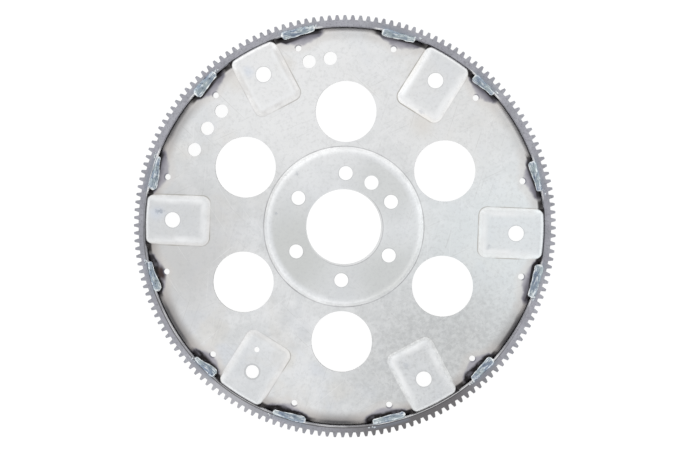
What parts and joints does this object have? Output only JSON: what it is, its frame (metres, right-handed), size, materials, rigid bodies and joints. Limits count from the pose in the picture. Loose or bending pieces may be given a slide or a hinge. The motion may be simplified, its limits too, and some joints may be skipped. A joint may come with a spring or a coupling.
{
  "type": "flexplate",
  "caption": "Pressed steel drive plate with a raised hub, raised converter pads and lightening holes, and a starter ring gear welded round its rolled rim.",
  "frame": {"origin": "on the axis, at the back face of the hub, which seats on the crankshaft", "axes": "+Z along the axis towards the torque converter, which is up as the plate lies on its ring gear; +X through the middle of a converter pad"},
  "size_m": [0.3592, 0.3592, 0.0155],
  "materials": {
    "plate": "satin",
    "ring": "matte",
    "weld": "bright"
  },
  "bodies": {
    "root": {"plate": "plate", "ring_gear": "ring", "weld_bead_01": "weld", "weld_bead_02": "weld", "weld_bead_03": "weld", "weld_bead_04": "weld", "weld_bead_05": "weld", "weld_bead_06": "weld", "weld_bead_07": "weld", "weld_bead_08": "weld", "weld_bead_09": "weld", "weld_bead_10": "weld", "weld_bead_11": "weld", "weld_bead_12": "weld"}
  },
  "joints": []
}
